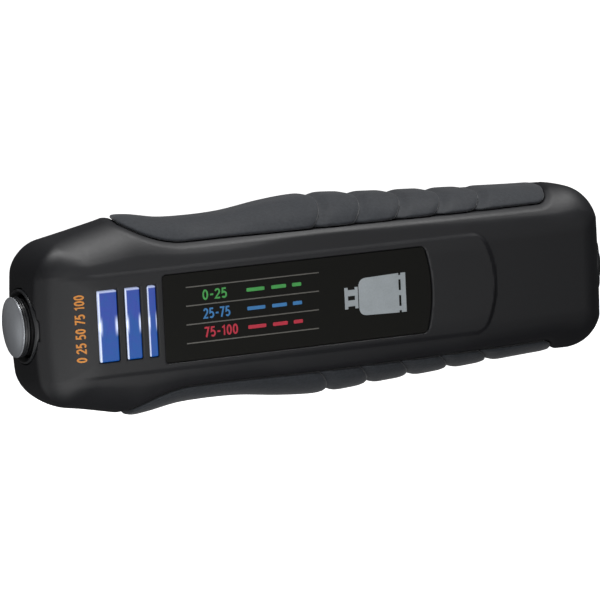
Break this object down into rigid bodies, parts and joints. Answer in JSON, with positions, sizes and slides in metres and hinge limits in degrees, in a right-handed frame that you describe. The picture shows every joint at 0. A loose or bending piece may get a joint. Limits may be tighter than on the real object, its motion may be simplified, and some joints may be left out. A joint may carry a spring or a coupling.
{
  "type": "gas bottle level scanner",
  "caption": "Slim handheld scanner with a spring-backed round sensor pad, three lit windows, a printed panel, rubber side grips, a tail push button and a battery door.",
  "frame": {"origin": "under the middle of the flat back, at the centre of the bounding box's base", "axes": "+X from the sensor pad to the tail button, +Z out of the display face, +Y completes the right-handed frame"},
  "size_m": [0.149, 0.047, 0.028],
  "materials": {
    "shell": "satin charcoal moulded plastic with a very fine grain",
    "panel": "printed near-black label, semi-gloss",
    "grip": "fine-grained matte blue-grey rubber overmould",
    "window": "translucent blue light window",
    "collar": "satin charcoal plastic ring",
    "seal": "black rubber seal",
    "sensor": "satin light grey sensor face",
    "white_plastic": "white moulded plastic",
    "dark_plastic": "black moulded plastic",
    "brass": "nickelled brass piezo disc",
    "steel": "plated spring steel",
    "lead": "insulated hook-up wire",
    "button": "black soft-touch push button",
    "cell": "plain sleeved cell",
    "board": "green solder-masked circuit board"
  },
  "bodies": {
    "root": {"front_shell": "shell", "rear_shell": "shell", "display_panel": "panel", "grip_left": "grip", "grip_right": "grip", "window_wide": "window", "window_middle": "window", "window_narrow": "window", "sensor_collar": "collar", "sensor_seal": "seal", "sensor_spring": "steel", "sensor_guide": "dark_plastic", "sensor_lead_left": "lead", "sensor_lead_right": "lead", "button_bezel": "collar", "switch_body": "dark_plastic", "battery_1": "cell", "battery_2": "cell", "contact_spring_1": "steel", "contact_spring_2": "steel", "contact_positive": "steel", "contact_negative": "steel", "contact_bridge": "steel", "main_board": "board", "controller_chip": "dark_plastic", "led_wide": "white_plastic", "led_middle": "white_plastic", "led_narrow": "white_plastic", "light_box": "white_plastic", "screw_1": "steel", "screw_2": "steel", "screw_3": "steel", "screw_4": "steel"},
    "sensor": {"sensor_pad": "sensor", "sensor_plunger": "white_plastic", "transducer_disc": "brass"},
    "tail_button": {"power_button": "button", "switch_stem": "white_plastic"},
    "door": {"battery_door": "shell"}
  },
  "joints": [
    {"name": "sensor_press", "type": "slide", "parent": "root", "child": "sensor", "axis": [1, 0, 0], "range_m": [0, 0.0015], "stiffness_N_per_m": 800, "springref_m": -0.002, "deforming": ["sensor_spring"]},
    {"name": "tail_button_press", "type": "slide", "parent": "root", "child": "tail_button", "axis": [-1, 0, 0], "range_m": [0, 0.0011], "stiffness_N_per_m": 1200, "springref_m": -0.001},
    {"name": "battery_door_off", "type": "slide", "parent": "root", "child": "door", "axis": [0, 0, -1], "range_m": [0, 0.03]}
  ]
}
